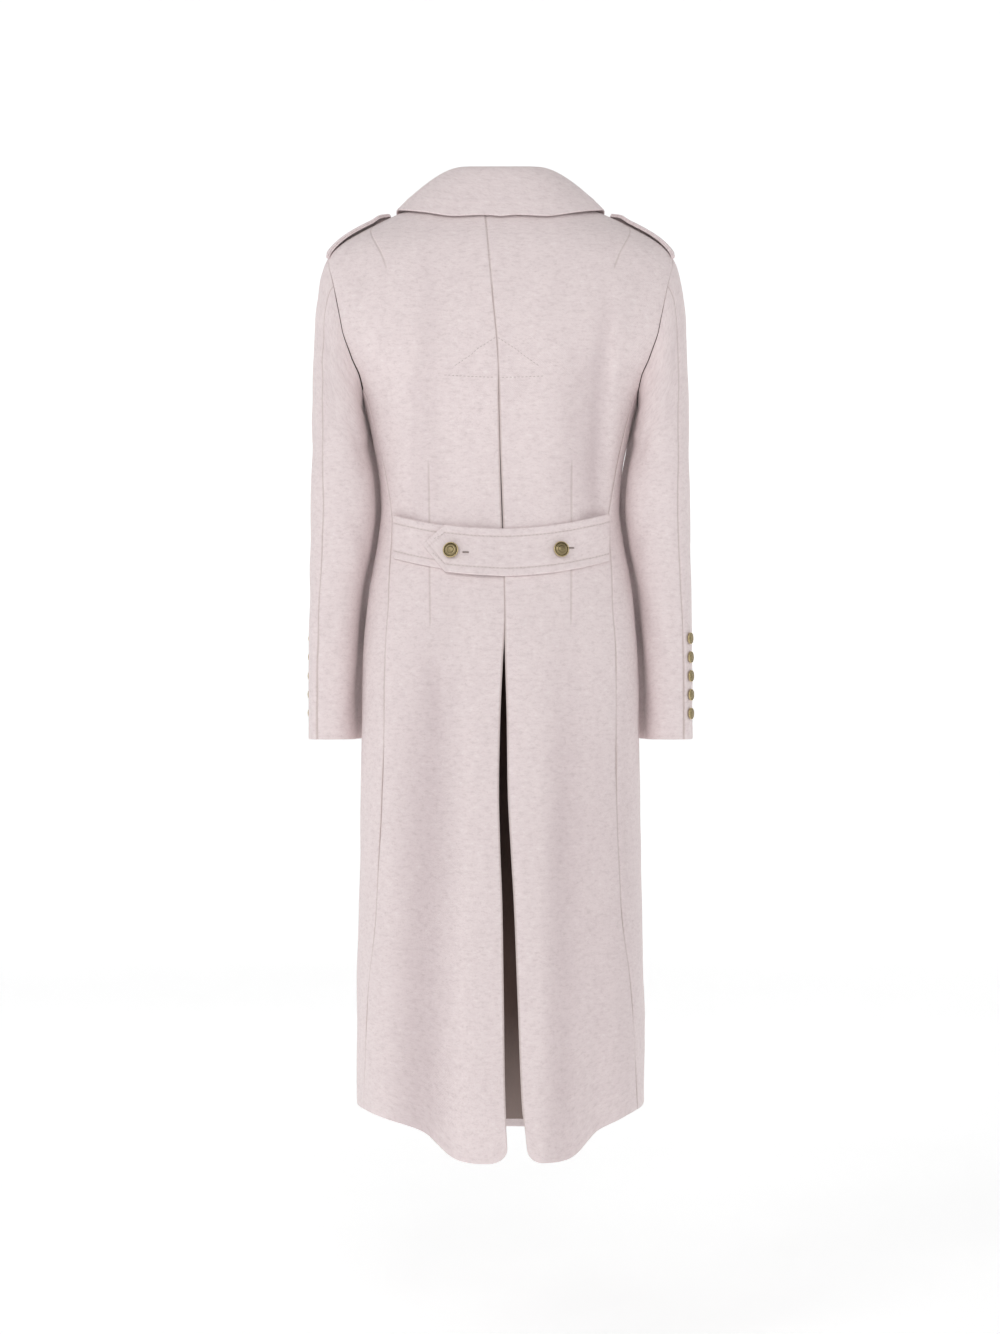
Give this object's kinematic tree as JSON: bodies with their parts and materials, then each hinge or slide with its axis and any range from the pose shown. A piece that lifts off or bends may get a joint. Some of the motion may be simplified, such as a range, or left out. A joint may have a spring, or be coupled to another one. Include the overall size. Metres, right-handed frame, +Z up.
{
  "type": "double-breasted coat",
  "caption": "Long double-breasted wool coat, hollow as when worn, with half belt, epaulettes, inverted pleat and open back vent.",
  "frame": {"origin": "middle of the neck, at the height where the coat bears on the wearer's shoulders", "axes": "+Z up, -Y the way the coat's front looks, +X the wearer's left"},
  "size_m": [0.4881, 0.3378, 1.2211],
  "materials": {
    "wool": "melange wool coating, soft low nap",
    "lining": "dark brown satin lining",
    "gold": "antique gold, half worn"
  },
  "bodies": {
    "root": {"back_left": "wool", "side_left": "wool", "front_left": "wool", "back_right": "wool", "side_right": "wool", "front_right": "wool", "pleat_underlay": "wool", "lapel_left": "wool", "lapel_right": "wool", "collar_stand": "wool", "collar_leaf": "wool", "sleeve_upper_left": "wool", "sleeve_under_left": "wool", "sleeve_upper_right": "wool", "sleeve_under_right": "wool", "epaulette_left": "wool", "epaulette_right": "wool", "belt_strap": "wool", "belt_band": "wool", "pocket_flap_left": "wool", "pocket_flap_right": "wool", "lining_front": "lining", "belt_button_left": "gold", "belt_button_right": "gold", "cuff_button_left_1": "gold", "cuff_button_left_2": "gold", "cuff_button_left_3": "gold", "cuff_button_left_4": "gold", "cuff_button_left_5": "gold", "cuff_button_right_1": "gold", "cuff_button_right_2": "gold", "cuff_button_right_3": "gold", "cuff_button_right_4": "gold", "cuff_button_right_5": "gold", "front_button_left_1": "gold", "front_button_left_2": "gold", "front_button_left_3": "gold", "front_button_right_1": "gold", "front_button_right_2": "gold", "front_button_right_3": "gold"}
  },
  "joints": []
}
